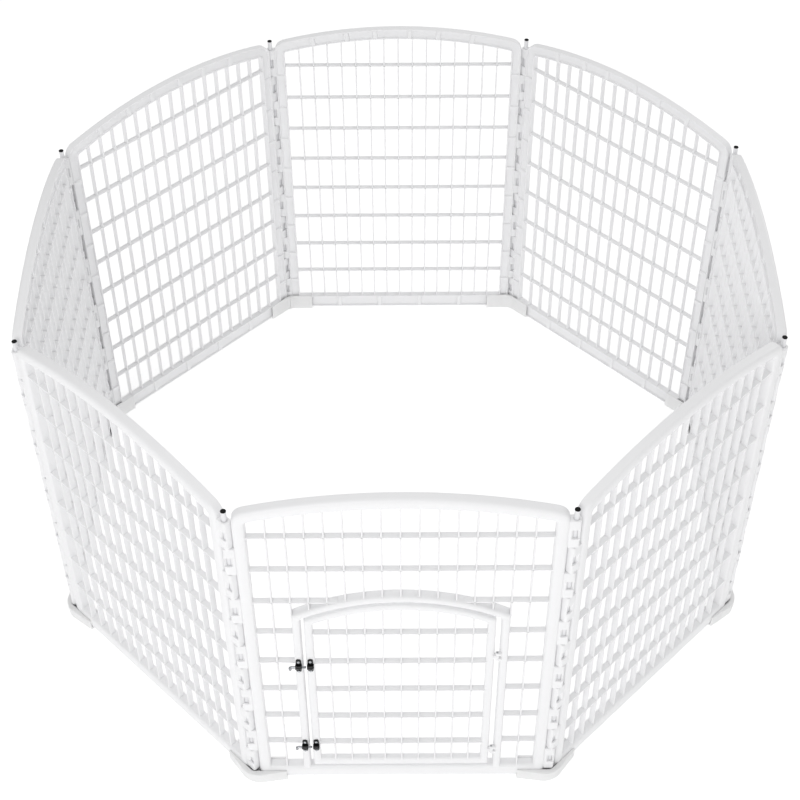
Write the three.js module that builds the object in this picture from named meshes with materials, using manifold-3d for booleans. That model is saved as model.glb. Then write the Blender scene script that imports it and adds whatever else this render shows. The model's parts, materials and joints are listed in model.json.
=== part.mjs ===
// Pet playpen: eight arched grille panels hinged into a ring by drop-in rods.
// Millimetres, +Z up. The origin is the ring's centre on the floor, and the doorway faces -Y.
//
// Each panel is drawn in its own frame: x runs along the panel, y points into the pen, z is up,
// and the plane y = 0 holds the axes of the two hinge rods.

import * as THREE from 'three';
import { mergeVertices } from 'three/addons/utils/BufferGeometryUtils.js';
import Module from 'manifold-3d';

const wasm = await Module();
wasm.setup();

// Ring and panel
const PANEL_COUNT = 8;
const PIN_SPACING = 606; // rod axis to rod axis along one panel
const PANEL_TOP = 867; // crown of the arch above the floor
const ARCH_RISE = 40; // how far the crown stands above the arch's ends
const SHOULDER_RADIUS = 28;
const OPENING_SHOULDER = 7;
const FRAME_DEPTH = 21; // thickness of a panel, front to back
const STILE_WIDTH = 23;
const TOP_RAIL_HEIGHT = 26;
const BOTTOM_RAIL_TOP = 41;
const CLEARANCE = 0.3; // air between pieces that touch

// Lattice
const BAR_WIDTH = 3;
const BAR_DEPTH = 13;
const ROW_COUNT = 8;
const LATTICE_BASE = 36; // height from which the rows are spaced
const TOP_CELL_SHARE = 0.4; // height of the top cell at the stile, in row pitches
const COLUMN_COUNT = 3;

// Hinges
const ROD_RADIUS = 5;
const ROD_BOTTOM = 6;
const ROD_SHOWING = 20; // bare rod between the top knuckle and the cap
const ROD_WALL = 1.5; // round the socket in the rod's top end
const CAP_HEIGHT = 2.7;
const CAP_RIM = 0.4; // cap radius over rod radius
const PLUG_LENGTH = 9; // the cap's stem, pressed into the socket
const KNUCKLE_COUNT = 11; // in one column, shared by two panels
const KNUCKLE_WALL = 3.6;
const KNUCKLE_GAP = 1;
const ROD_PLAY = 0.6; // bore radius over rod radius
const SWING_GAP = 1.8; // between a knuckle and the other panel's stile
const FOLD_GAP = 0.4; // between two stiles folded to a right angle
const COLUMN_DROP = 18; // top knuckle below the arch's ends

// Corner shoes
const SHOE_ARM = 66; // from the rod axis to the end of an arm
const SHOE_FLOOR = 5;
const SHOE_HEIGHT = 30; // of the outer wall
const SHOE_LIP = 1; // inner wall over the bottom rail
const SHOE_WALL = 3.5;
const SHOE_SOCKET_TOP = 20;
const SHOE_CORNER_RADIUS = 45;
const SHOE_CORNER_REACH = 20; // rod axis to the outside of the corner
const SHOE_INNER_RADIUS = 40;

// Doorway and door leaf
const DOORWAY_HALF_WIDTH = 202; // to the outer edges of its posts
const DOOR_MEMBER = 16; // width of the posts, of the leaf's stiles and of both arches
const DOORWAY_OVER_ROW = 19; // the arch's crown over the row of bars it covers
const DOORWAY_ROW = 6;
const DOORWAY_RISE = 57;
const DOORWAY_SHOULDER = 8;
const LATCH_GAP = 6; // leaf to post on the latch side
const HINGE_GAP = 10; // leaf to post on the hinge side
const ARCH_GAP = 8;
const SILL_GAP = 7;
const LEAF_DEPTH = 14;
const LEAF_SETBACK = 0.5; // the leaf's face behind the panel's face
const LEAF_RAIL_HEIGHT = 22;
const HINGE_LUG_RADIUS = 4.3;
const HINGE_PIN_RADIUS = 1.8;
const HINGE_PIN_PLAY = 0.5;
const HINGE_LUG_HEIGHT = 6;
const LEAF_LUG_HEIGHT = 9;
const LUG_GAP = 0.4;
const UPPER_HINGE_OVER_ROW = 23; // hinge centres from the rows beside them
const LOWER_HINGE_UNDER_ROW = 21;
const LATCH_UNDER_ROW = 2.8;

// Latches
const BRACKET_WIDTH = 10.5;
const BRACKET_HEIGHT = 39;
const BRACKET_PLATE = 3;
const BARREL_LENGTH = 13;
const BARREL_SETBACK = 1; // barrel from the outer edge of the post
const BARREL_RADIUS = 4.3;
const BOLT_RADIUS = 2.5;
const BOLT_PLAY = 0.4;
const BOLT_STANDOFF = 4.7; // bolt axis in front of the panel's face
const BOLT_TRAVEL = 6.5;
const HANDLE_RADIUS = 2.4;
const HANDLE_LENGTH = 8.5;
const SCREW_HEAD_RADIUS = 2.8;
const SCREW_HEAD_HEIGHT = 1.6;

// Faceting
const ROUND_STEPS = 8; // a full circle
const KNUCKLE_STEPS = 4; // a knuckle's half circle
const BRACKET_STEPS = 6; // a bracket's half circle
const SHOE_STEPS = 4;
const SHOULDER_STEPS = 3;
const ARCH_STEPS = 10;
const OVERLAP = 1; // how far solids run into each other where they are joined or cut

// Sizes that follow from those above
const TURN = (2 * Math.PI) / PANEL_COUNT;
const HALF_FRAME = FRAME_DEPTH / 2;
const APOTHEM = PIN_SPACING / 2 / Math.tan(TURN / 2);
const CIRCUMRADIUS = PIN_SPACING / 2 / Math.sin(TURN / 2);
const BORE_RADIUS = ROD_RADIUS + ROD_PLAY;
const KNUCKLE_RADIUS = BORE_RADIUS + KNUCKLE_WALL;
const STILE_TO_PIN = Math.max(KNUCKLE_RADIUS + SWING_GAP, HALF_FRAME + FOLD_GAP);
const PANEL_HALF_WIDTH = PIN_SPACING / 2 - STILE_TO_PIN;
const ARCH_RADIUS = (PANEL_HALF_WIDTH ** 2 + ARCH_RISE ** 2) / (2 * ARCH_RISE);
const OPENING_HALF_WIDTH = PANEL_HALF_WIDTH - STILE_WIDTH;
const RAIL_UNDERSIDE = SHOE_FLOOR + CLEARANCE;
const ARCH_FOOT = PANEL_TOP - ARCH_RISE;
const ROW_PITCH = (ARCH_FOOT - TOP_RAIL_HEIGHT - LATTICE_BASE) / (ROW_COUNT + TOP_CELL_SHARE);
const COLUMN_PITCH = (2 * OPENING_HALF_WIDTH) / (COLUMN_COUNT + 1);
const KNUCKLE_BOTTOM = Math.max(SHOE_SOCKET_TOP, SHOE_HEIGHT) + KNUCKLE_GAP;
const KNUCKLE_TOP = ARCH_FOOT - COLUMN_DROP;
const KNUCKLE_PITCH = (KNUCKLE_TOP - KNUCKLE_BOTTOM) / KNUCKLE_COUNT;
const ROD_TOP = KNUCKLE_TOP + ROD_SHOWING;
const SOCKET_RADIUS = ROD_RADIUS - ROD_WALL;
const SHOE_CHANNEL = HALF_FRAME + CLEARANCE;
const SHOE_HALF_WIDTH = SHOE_CHANNEL + SHOE_WALL;
const SHOE_TOP = BOTTOM_RAIL_TOP + SHOE_LIP;

const DOORWAY_CROWN = rowHeight(DOORWAY_ROW) + DOORWAY_OVER_ROW;
const DOORWAY_RADIUS = (DOORWAY_HALF_WIDTH ** 2 + DOORWAY_RISE ** 2) / (2 * DOORWAY_RISE);
const POST_INNER = DOORWAY_HALF_WIDTH - DOOR_MEMBER;
const LEAF_LEFT = -POST_INNER + LATCH_GAP;
const LEAF_RIGHT = POST_INNER - HINGE_GAP;
const LEAF_BOTTOM = BOTTOM_RAIL_TOP + SILL_GAP;
const LEAF_CROWN = DOORWAY_CROWN - DOOR_MEMBER - ARCH_GAP;
const LEAF_RADIUS = DOORWAY_RADIUS - DOOR_MEMBER - ARCH_GAP;
const LEAF_FACE = -HALF_FRAME + LEAF_SETBACK;
const HINGE_X = (LEAF_RIGHT + POST_INNER) / 2;
const HINGE_HEIGHTS = [rowHeight(4) + UPPER_HINGE_OVER_ROW, rowHeight(1) - LOWER_HINGE_UNDER_ROW];
const LATCH_HEIGHTS = [rowHeight(4) - LATCH_UNDER_ROW, rowHeight(1) - LATCH_UNDER_ROW];
const HINGE_STACK = 2 * (HINGE_LUG_HEIGHT + LUG_GAP) + LEAF_LUG_HEIGHT;
const BARREL_X = -DOORWAY_HALF_WIDTH + BARREL_SETBACK + BARREL_LENGTH / 2;
const KEEPER_X = LEAF_LEFT + DOOR_MEMBER / 2;
const BOLT_Y = -HALF_FRAME - BOLT_STANDOFF;
const BOLT_TIP = LEAF_LEFT - LUG_GAP;

const MATERIALS = {
  panel: new THREE.MeshStandardMaterial({ color: 0xf1f1f3, roughness: 0.42, metalness: 0 }),
  shoe: new THREE.MeshStandardMaterial({ color: 0xe4e5e6, roughness: 0.5, metalness: 0 }),
  rod: new THREE.MeshStandardMaterial({ color: 0xececee, roughness: 0.3, metalness: 0 }),
  cap: new THREE.MeshStandardMaterial({ color: 0x111113, roughness: 0.35, metalness: 0 }),
  bracket: new THREE.MeshStandardMaterial({ color: 0x0c0c0d, roughness: 0.22, metalness: 0 }),
  chrome: new THREE.MeshStandardMaterial({ color: 0xcfd2d6, roughness: 0.12, metalness: 1 }),
};

// Height of a horizontal bar's middle, counted from 1 at the bottom.
function rowHeight(row) {
  return LATTICE_BASE + row * ROW_PITCH;
}

// --- Solids ---------------------------------------------------------------------------------

function solidOf(geometry) {
  const bare = geometry.clone();
  bare.deleteAttribute('normal');
  bare.deleteAttribute('uv');
  const merged = mergeVertices(bare, 1e-4);
  return new wasm.Manifold(new wasm.Mesh({
    numProp: 3,
    vertProperties: Float32Array.from(merged.attributes.position.array),
    triVerts: Uint32Array.from(merged.index.array),
  }));
}

function geometryOf(solid) {
  const mesh = solid.getMesh();
  const geometry = new THREE.BufferGeometry();
  const positions = Float32Array.from(mesh.vertProperties);
  geometry.setAttribute('position', new THREE.BufferAttribute(positions, 3));
  geometry.setIndex(new THREE.BufferAttribute(Uint32Array.from(mesh.triVerts), 1));
  geometry.computeVertexNormals();
  return geometry;
}

function joined(solids) {
  return solids.reduce((sum, solid) => sum.add(solid));
}

// A block between two opposite corners.
function block(low, high) {
  const size = high.map((value, axis) => value - low[axis]);
  const geometry = new THREE.BoxGeometry(...size);
  geometry.translate(...low.map((value, axis) => value + size[axis] / 2));
  return solidOf(geometry);
}

// An outline drawn in x and z, given depth along y from `front`.
function slab(outline, front, depth) {
  const shape = new THREE.Shape(outline);
  const geometry = new THREE.ExtrudeGeometry(shape, { depth, bevelEnabled: false });
  geometry.rotateX(Math.PI / 2);
  geometry.translate(0, front + depth, 0);
  return solidOf(geometry);
}

// An outline drawn in x and y, given height along z from `bottom`.
function column(outline, bottom, height) {
  const shape = new THREE.Shape(outline);
  const geometry = new THREE.ExtrudeGeometry(shape, { depth: height, bevelEnabled: false });
  geometry.translate(0, 0, bottom);
  return solidOf(geometry);
}

// A round bar along z, or turned to lie along x or y.
function roundBar({ radius, from, to, at, axis = 'z' }) {
  const geometry = new THREE.CylinderGeometry(radius, radius, to - from, ROUND_STEPS);
  geometry.rotateY(Math.PI / ROUND_STEPS);
  geometry.translate(0, (from + to) / 2, 0);
  if (axis === 'z') {
    geometry.rotateX(Math.PI / 2);
  } else if (axis === 'x') {
    geometry.rotateZ(-Math.PI / 2);
  }
  geometry.translate(...at);
  return solidOf(geometry);
}

function arc(x, y, radius, from, to, steps) {
  return Array.from({ length: steps + 1 }, (_, step) => {
    const angle = from + ((to - from) * step) / steps;
    return new THREE.Vector2(x + radius * Math.cos(angle), y + radius * Math.sin(angle));
  });
}

// A doorway shape: straight sides, a circular arch with its centre on x = 0, and two shoulders
// rounded tangent to the side and to the arch.
function archedOutline({ left, right, bottom, crown, radius, shoulder }) {
  const centre = crown - radius;
  const reach = radius - shoulder;
  const corner = (x) => Math.sqrt(reach ** 2 - x ** 2);
  const rightX = right - shoulder;
  const leftX = left + shoulder;
  const rightAngle = Math.atan2(corner(rightX), rightX);
  const leftAngle = Math.atan2(corner(leftX), leftX);
  return [
    new THREE.Vector2(left, bottom),
    new THREE.Vector2(right, bottom),
    ...arc(rightX, centre + corner(rightX), shoulder, 0, rightAngle, SHOULDER_STEPS),
    ...arc(0, centre, radius, rightAngle, leftAngle, ARCH_STEPS).slice(1, -1),
    ...arc(leftX, centre + corner(leftX), shoulder, leftAngle, Math.PI, SHOULDER_STEPS),
  ];
}

// --- Panels ---------------------------------------------------------------------------------

function panelOutline() {
  return archedOutline({
    left: -PANEL_HALF_WIDTH,
    right: PANEL_HALF_WIDTH,
    bottom: RAIL_UNDERSIDE,
    crown: PANEL_TOP,
    radius: ARCH_RADIUS,
    shoulder: SHOULDER_RADIUS,
  });
}

function panelOpening() {
  return archedOutline({
    left: -OPENING_HALF_WIDTH,
    right: OPENING_HALF_WIDTH,
    bottom: BOTTOM_RAIL_TOP,
    crown: PANEL_TOP - TOP_RAIL_HEIGHT,
    radius: ARCH_RADIUS - TOP_RAIL_HEIGHT,
    shoulder: OPENING_SHOULDER,
  });
}

function doorwayOutline(inset) {
  return archedOutline({
    left: inset - DOORWAY_HALF_WIDTH,
    right: DOORWAY_HALF_WIDTH - inset,
    bottom: BOTTOM_RAIL_TOP - (inset > 0 ? 0 : CLEARANCE),
    crown: DOORWAY_CROWN - inset,
    radius: DOORWAY_RADIUS - inset,
    shoulder: DOORWAY_SHOULDER,
  });
}

// A solid hoop between two outlines.
function hoop(outer, inner, front, depth) {
  return slab(outer, front, depth).subtract(slab(inner, front - OVERLAP, depth + 2 * OVERLAP));
}

// Upright and level bars, trimmed to an outline.
function lattice(outline, middle) {
  const half = BAR_WIDTH / 2;
  const front = middle - BAR_DEPTH / 2;
  const back = middle + BAR_DEPTH / 2;
  const bars = [];
  for (let row = 1; row <= ROW_COUNT; row += 1) {
    const z = rowHeight(row);
    bars.push(block([-PANEL_HALF_WIDTH, front, z - half], [PANEL_HALF_WIDTH, back, z + half]));
  }
  for (let index = 1; index <= COLUMN_COUNT; index += 1) {
    const x = -OPENING_HALF_WIDTH + index * COLUMN_PITCH;
    bars.push(block([x - half, front, 0], [x + half, back, PANEL_TOP]));
  }
  return joined(bars).intersect(slab(outline, front - OVERLAP, BAR_DEPTH + 2 * OVERLAP));
}

// One knuckle: a ring round the rod with a neck back to its stile. `side` is 1 at the right end.
function knuckle(slot, side) {
  const bottom = KNUCKLE_BOTTOM + slot * KNUCKLE_PITCH + KNUCKLE_GAP / 2;
  const height = KNUCKLE_PITCH - KNUCKLE_GAP;
  const pin = (side * PIN_SPACING) / 2;
  const neck = side * (PANEL_HALF_WIDTH - OVERLAP);
  const start = side > 0 ? -Math.PI / 2 : Math.PI / 2;
  const outline = [
    new THREE.Vector2(neck, side * KNUCKLE_RADIUS),
    new THREE.Vector2(neck, -side * KNUCKLE_RADIUS),
    ...arc(pin, 0, KNUCKLE_RADIUS, start, start + Math.PI, KNUCKLE_STEPS),
  ];
  return column(outline, bottom, height);
}

function knuckles() {
  const solids = [];
  for (let slot = 0; slot < KNUCKLE_COUNT; slot += 1) {
    solids.push(knuckle(slot, slot % 2 === 0 ? 1 : -1));
  }
  return joined(solids);
}

function rodBores() {
  const bore = (x) => roundBar({
    radius: BORE_RADIUS, from: 0, to: PANEL_TOP, at: [x, 0, 0],
  });
  return bore(-PIN_SPACING / 2).add(bore(PIN_SPACING / 2));
}

function plainPanel() {
  const frame = hoop(panelOutline(), panelOpening(), -HALF_FRAME, FRAME_DEPTH);
  return joined([frame, lattice(panelOutline(), 0), knuckles()]).subtract(rodBores());
}

// One lug of a door hinge: a ring round the pin with a neck to the post or to the leaf.
function hingeLug(bottom, height, neckEnd) {
  const ring = roundBar({
    radius: HINGE_LUG_RADIUS, from: bottom, to: bottom + height, at: [HINGE_X, LEAF_FACE, 0],
  });
  const reach = HINGE_LUG_RADIUS * Math.cos(Math.PI / ROUND_STEPS) - LUG_GAP;
  const neck = block(
    [Math.min(HINGE_X, neckEnd), LEAF_FACE - reach, bottom],
    [Math.max(HINGE_X, neckEnd), LEAF_FACE + reach, bottom + height],
  );
  return ring.add(neck);
}

function hingePinBores() {
  return joined(HINGE_HEIGHTS.map((z) => roundBar({
    radius: HINGE_PIN_RADIUS + HINGE_PIN_PLAY,
    from: z - HINGE_STACK,
    to: z + HINGE_STACK,
    at: [HINGE_X, LEAF_FACE, 0],
  })));
}

function doorwayPanel() {
  const frame = hoop(panelOutline(), panelOpening(), -HALF_FRAME, FRAME_DEPTH);
  const doorway = hoop(doorwayOutline(0), doorwayOutline(DOOR_MEMBER), -HALF_FRAME, FRAME_DEPTH);
  const doorSpace = slab(doorwayOutline(OVERLAP), -FRAME_DEPTH, 2 * FRAME_DEPTH);
  const grille = lattice(panelOutline(), 0).subtract(doorSpace);
  const lugs = HINGE_HEIGHTS.flatMap((z) => [
    hingeLug(z - HINGE_STACK / 2, HINGE_LUG_HEIGHT, POST_INNER + OVERLAP),
    hingeLug(z + HINGE_STACK / 2 - HINGE_LUG_HEIGHT, HINGE_LUG_HEIGHT, POST_INNER + OVERLAP),
  ]);
  return joined([frame, doorway, grille, knuckles(), ...lugs])
    .subtract(rodBores())
    .subtract(hingePinBores());
}

function doorLeaf() {
  const outline = (inset, base) => archedOutline({
    left: LEAF_LEFT + inset,
    right: LEAF_RIGHT - inset,
    bottom: base,
    crown: LEAF_CROWN - inset,
    radius: LEAF_RADIUS - inset,
    shoulder: DOORWAY_SHOULDER,
  });
  const rim = outline(0, LEAF_BOTTOM);
  const opening = outline(DOOR_MEMBER, LEAF_BOTTOM + LEAF_RAIL_HEIGHT);
  const frame = hoop(rim, opening, LEAF_FACE, LEAF_DEPTH);
  const grille = lattice(rim, LEAF_FACE + LEAF_DEPTH / 2);
  const lugs = HINGE_HEIGHTS.map((z) => (
    hingeLug(z - LEAF_LUG_HEIGHT / 2, LEAF_LUG_HEIGHT, LEAF_RIGHT - OVERLAP)
  ));
  return joined([frame, grille, ...lugs])
    .subtract(hingePinBores());
}

// --- Rods, caps and shoes -------------------------------------------------------------------

// A rod with a socket for the cap's stem in its top end.
function hingeRod() {
  const rod = roundBar({ radius: ROD_RADIUS, from: ROD_BOTTOM, to: ROD_TOP, at: [0, 0, 0] });
  const socket = roundBar({
    radius: SOCKET_RADIUS,
    from: ROD_TOP - PLUG_LENGTH - CLEARANCE,
    to: ROD_TOP + OVERLAP,
    at: [0, 0, 0],
  });
  return rod.subtract(socket);
}

// A disc over the rod's end, with a stem in its socket.
function rodCap() {
  const seat = ROD_TOP + CLEARANCE;
  const disc = roundBar({
    radius: ROD_RADIUS + CAP_RIM, from: seat, to: seat + CAP_HEIGHT, at: [0, 0, 0],
  });
  const stem = roundBar({
    radius: SOCKET_RADIUS - CLEARANCE,
    from: ROD_TOP - PLUG_LENGTH,
    to: seat + CAP_HEIGHT / 2,
    at: [0, 0, 0],
  });
  return disc.add(stem);
}

// A trough in the shape of the ring's corner, with a solid block and a blind socket under the rod.
// The rod stands on x = y = 0 and the pen lies towards +y. The outside is an arc round the corner
// and the tangents to it from the arms' ends. The inner wall is the higher one, and an arc joins
// its two arms.
function cornerShoe() {
  const tilt = TURN / 2;
  const centre = SHOE_CORNER_RADIUS - SHOE_CORNER_REACH;
  const armPoint = (side, across) => new THREE.Vector2(
    side * (SHOE_ARM * Math.cos(tilt) + across * Math.sin(tilt)),
    SHOE_ARM * Math.sin(tilt) - across * Math.cos(tilt),
  );
  const end = armPoint(1, SHOE_HALF_WIDTH);
  const endAngle = Math.atan2(end.y - centre, end.x);
  const tangentAngle = endAngle - Math.acos(SHOE_CORNER_RADIUS / Math.hypot(end.x, end.y - centre));
  const innerCentre = (SHOE_HALF_WIDTH + SHOE_INNER_RADIUS) / Math.cos(tilt);
  const outline = [
    armPoint(-1, SHOE_HALF_WIDTH),
    ...arc(0, centre, SHOE_CORNER_RADIUS, -Math.PI - tangentAngle, tangentAngle, SHOE_STEPS),
    armPoint(1, SHOE_HALF_WIDTH),
    armPoint(1, -SHOE_HALF_WIDTH),
    ...arc(0, innerCentre, SHOE_INNER_RADIUS, -Math.PI / 2 + tilt, -Math.PI / 2 - tilt, SHOE_STEPS),
    armPoint(-1, -SHOE_HALF_WIDTH),
  ];
  const channel = (side, start, floor) => {
    const low = [side > 0 ? start : -2 * SHOE_ARM, -SHOE_CHANNEL, floor];
    const high = [side > 0 ? 2 * SHOE_ARM : -start, SHOE_CHANNEL, 2 * SHOE_TOP];
    return block(low, high).rotate([0, 0, THREE.MathUtils.radToDeg(side * tilt)]);
  };
  const overOuterWall = (side) => block(
    [-2 * SHOE_ARM, -2 * SHOE_ARM, SHOE_HEIGHT],
    [2 * SHOE_ARM, 0, 2 * SHOE_TOP],
  ).rotate([0, 0, THREE.MathUtils.radToDeg(side * tilt)]);
  const well = roundBar({
    radius: STILE_TO_PIN, from: SHOE_SOCKET_TOP, to: 2 * SHOE_TOP, at: [0, 0, 0],
  });
  const socket = roundBar({
    radius: BORE_RADIUS, from: ROD_BOTTOM - CLEARANCE, to: 2 * SHOE_TOP, at: [0, 0, 0],
  });
  return [-1, 1].reduce(
    (shoe, side) => shoe
      .subtract(overOuterWall(side))
      .subtract(channel(side, 0, SHOE_HEIGHT))
      .subtract(channel(side, STILE_TO_PIN - CLEARANCE, SHOE_FLOOR)),
    column(outline, 0, SHOE_TOP),
  ).subtract(well).subtract(socket);
}

// --- Door pins and latches ------------------------------------------------------------------

function doorHingePin(z) {
  return roundBar({
    radius: HINGE_PIN_RADIUS,
    from: z - HINGE_STACK / 2,
    to: z + HINGE_STACK / 2,
    at: [HINGE_X, LEAF_FACE, 0],
  });
}

// A plate with round ends, standing on a face, and a barrel across it for the bolt.
function bracket(x, z, face) {
  const radius = BRACKET_WIDTH / 2;
  const straight = BRACKET_HEIGHT / 2 - radius;
  const outline = [
    ...arc(x, z + straight, radius, 0, Math.PI, BRACKET_STEPS),
    ...arc(x, z - straight, radius, Math.PI, 2 * Math.PI, BRACKET_STEPS),
  ];
  const seat = face - CLEARANCE;
  const plate = slab(outline, seat - BRACKET_PLATE, BRACKET_PLATE);
  const low = x - BARREL_LENGTH / 2;
  const high = x + BARREL_LENGTH / 2;
  const barrel = roundBar({
    radius: BARREL_RADIUS, from: low, to: high, at: [0, BOLT_Y, z], axis: 'x',
  });
  const web = block(
    [low, BOLT_Y, z - BARREL_RADIUS + CLEARANCE],
    [high, seat, z + BARREL_RADIUS - CLEARANCE],
  );
  const bore = roundBar({
    radius: BOLT_RADIUS + BOLT_PLAY,
    from: low - OVERLAP,
    to: high + OVERLAP,
    at: [0, BOLT_Y, z],
    axis: 'x',
  });
  return joined([plate, web, barrel]).subtract(bore);
}

// The bolt is drawn back: its tip stops just short of the leaf. Its handle hangs at the far end.
function latchBolt(z) {
  const barrelEnd = BARREL_X - BARREL_LENGTH / 2;
  const handleX = barrelEnd - CLEARANCE - BOLT_TRAVEL - HANDLE_RADIUS;
  const shaft = roundBar({
    radius: BOLT_RADIUS, from: handleX, to: BOLT_TIP, at: [0, BOLT_Y, z], axis: 'x',
  });
  const handle = roundBar({
    radius: HANDLE_RADIUS,
    from: z - HANDLE_LENGTH,
    to: z + BOLT_RADIUS / 2,
    at: [handleX, BOLT_Y, 0],
  });
  return shaft.add(handle);
}

function latchScrew(x, z, face) {
  const plateFront = face - CLEARANCE - BRACKET_PLATE;
  return roundBar({
    radius: SCREW_HEAD_RADIUS,
    from: plateFront - CLEARANCE - SCREW_HEAD_HEIGHT,
    to: plateFront - CLEARANCE,
    at: [x, 0, z],
    axis: 'y',
  });
}

// --- Assembly -------------------------------------------------------------------------------

function mesh(name, solid, material) {
  const part = new THREE.Mesh(geometryOf(solid), material.clone());
  part.name = name;
  return part;
}

// Pieces that stand on the first panel: door leaf, hinge pins and latches.
function doorPieces() {
  const parts = [mesh('door_leaf', doorLeaf(), MATERIALS.panel)];
  HINGE_HEIGHTS.forEach((z, index) => {
    parts.push(mesh(`door_hinge_pin_${index + 1}`, doorHingePin(z), MATERIALS.chrome));
  });
  const screwReach = (BRACKET_HEIGHT - BRACKET_WIDTH) / 2;
  LATCH_HEIGHTS.forEach((z, index) => {
    const seats = [[BARREL_X, -HALF_FRAME, 'barrel'], [KEEPER_X, LEAF_FACE, 'keeper']];
    seats.forEach(([x, face, kind], seat) => {
      parts.push(mesh(`latch_${kind}_${index + 1}`, bracket(x, z, face), MATERIALS.bracket));
      [screwReach, -screwReach].forEach((offset, end) => {
        const number = 4 * index + 2 * seat + end + 1;
        const screw = latchScrew(x, z + offset, face);
        parts.push(mesh(`latch_screw_${number}`, screw, MATERIALS.chrome));
      });
    });
    parts.push(mesh(`latch_bolt_${index + 1}`, latchBolt(z), MATERIALS.chrome));
  });
  return parts;
}

// A group placed as panel `index` of the ring: 0 is the front, then counter-clockwise from above.
function panelPlace(index) {
  const place = new THREE.Group();
  const angle = index * TURN;
  place.rotation.z = angle;
  place.position.set(APOTHEM * Math.sin(angle), -APOTHEM * Math.cos(angle), 0);
  return place;
}

// A group on the rod at the left end of panel `index`, turned so that +y points into the pen.
function cornerPlace(index) {
  const place = new THREE.Group();
  const angle = (index - 0.5) * TURN;
  place.rotation.z = angle;
  place.position.set(CIRCUMRADIUS * Math.sin(angle), -CIRCUMRADIUS * Math.cos(angle), 0);
  return place;
}

function playpen() {
  const pen = new THREE.Group();
  const plain = plainPanel();
  const rod = hingeRod();
  const cap = rodCap();
  const shoe = cornerShoe();
  for (let index = 0; index < PANEL_COUNT; index += 1) {
    const panel = index === 0 ? doorwayPanel() : plain;
    const place = panelPlace(index);
    place.add(mesh(`panel_${index + 1}`, panel, MATERIALS.panel));
    if (index === 0) {
      place.add(...doorPieces());
    }
    const corner = cornerPlace(index);
    corner.add(mesh(`hinge_rod_${index + 1}`, rod, MATERIALS.rod));
    corner.add(mesh(`rod_cap_${index + 1}`, cap, MATERIALS.cap));
    corner.add(mesh(`corner_shoe_${index + 1}`, shoe, MATERIALS.shoe));
    pen.add(place, corner);
  }
  return pen;
}

export default playpen();
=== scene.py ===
"""Pet playpen: eight moulded grille panels hinged into a ring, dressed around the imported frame.

Sizes are in millimetres in the classes below, and the mesh writer turns them into metres.
A panel is worked out in its own frame: x runs along the panel, y points into the pen, z is up,
and y = 0 holds the axes of its two hinge rods.
"""

import json
import logging
import math
from dataclasses import dataclass, field
from enum import Enum

import bpy
import numpy as np
from mathutils import Euler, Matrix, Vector

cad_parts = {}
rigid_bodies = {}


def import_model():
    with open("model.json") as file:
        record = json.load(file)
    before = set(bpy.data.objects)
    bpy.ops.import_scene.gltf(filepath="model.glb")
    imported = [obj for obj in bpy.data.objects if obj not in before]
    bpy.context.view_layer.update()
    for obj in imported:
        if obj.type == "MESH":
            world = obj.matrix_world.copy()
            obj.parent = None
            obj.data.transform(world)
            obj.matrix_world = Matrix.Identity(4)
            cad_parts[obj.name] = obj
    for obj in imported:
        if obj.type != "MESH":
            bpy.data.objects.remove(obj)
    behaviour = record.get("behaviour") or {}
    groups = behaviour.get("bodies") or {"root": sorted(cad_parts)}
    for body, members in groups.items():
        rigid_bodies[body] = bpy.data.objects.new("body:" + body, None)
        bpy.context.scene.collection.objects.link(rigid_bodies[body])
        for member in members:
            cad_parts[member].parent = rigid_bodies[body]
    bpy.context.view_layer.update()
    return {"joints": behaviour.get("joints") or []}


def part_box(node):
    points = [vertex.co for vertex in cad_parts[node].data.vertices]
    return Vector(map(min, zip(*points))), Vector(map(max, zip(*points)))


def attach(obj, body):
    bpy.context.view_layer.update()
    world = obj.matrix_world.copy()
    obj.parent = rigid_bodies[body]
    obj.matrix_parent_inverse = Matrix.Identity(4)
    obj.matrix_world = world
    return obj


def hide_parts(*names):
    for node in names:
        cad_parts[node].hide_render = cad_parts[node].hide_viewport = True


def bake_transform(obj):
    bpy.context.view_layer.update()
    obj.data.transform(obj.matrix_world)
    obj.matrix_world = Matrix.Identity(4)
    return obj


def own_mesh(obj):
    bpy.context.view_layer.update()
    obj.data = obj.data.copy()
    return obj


LOG = logging.getLogger("playpen")
Point = tuple[float, float, float]
MM = 0.001
SHARP_ANGLE = math.radians(38)
PANELS = 8
LET_IN = 4.0  # how far a bar runs into the frame round it
POLE = 0.3  # radius of the flat that closes a turned piece on its axis
SHOULDER_STEPS = 9  # points of an arched outline on each shoulder
ARCH_STEPS = 41  # and on its arch
OPENING_SHOULDER = 7.0  # radius of a lattice's upper corners
DOORWAY_HALF_WIDTH = 202.0
DOORWAY_ROWS = 6  # level bars that the doorway interrupts
DOORWAY_ARCH_RISE = 19.0  # from the last of them to the crown of the doorway's arch
PIN_RADIUS = 1.75
PIN_EDGE = 0.4


class End(Enum):
    """Which end of a panel a piece belongs to, as the sign of its x."""

    LEFT = -1
    RIGHT = 1


# --- Meshes -------------------------------------------------------------------------------


@dataclass
class Shell:
    """One closed surface: points (n, 3) in millimetres and quads (m, 4)."""

    points: np.ndarray
    quads: np.ndarray

    def outward(self) -> "Shell":
        """Turn the faces round if the volume they enclose comes out negative.

        The volume is the sum over triangles of a . (b x c) / 6.

        Returns:
            This shell, with its faces pointing out.
        """
        a, b, c, d = (self.points[self.quads[:, i]] for i in range(4))
        volume = np.einsum("ij,ij->i", a, np.cross(b, c) + np.cross(c, d)).sum()
        if volume < 0:
            self.quads = self.quads[:, ::-1]
        return self

    def placed(self, place: "Place") -> "Shell":
        """Return a copy of this shell in the row frame."""
        return Shell(place.apply(self.points), self.quads)


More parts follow.
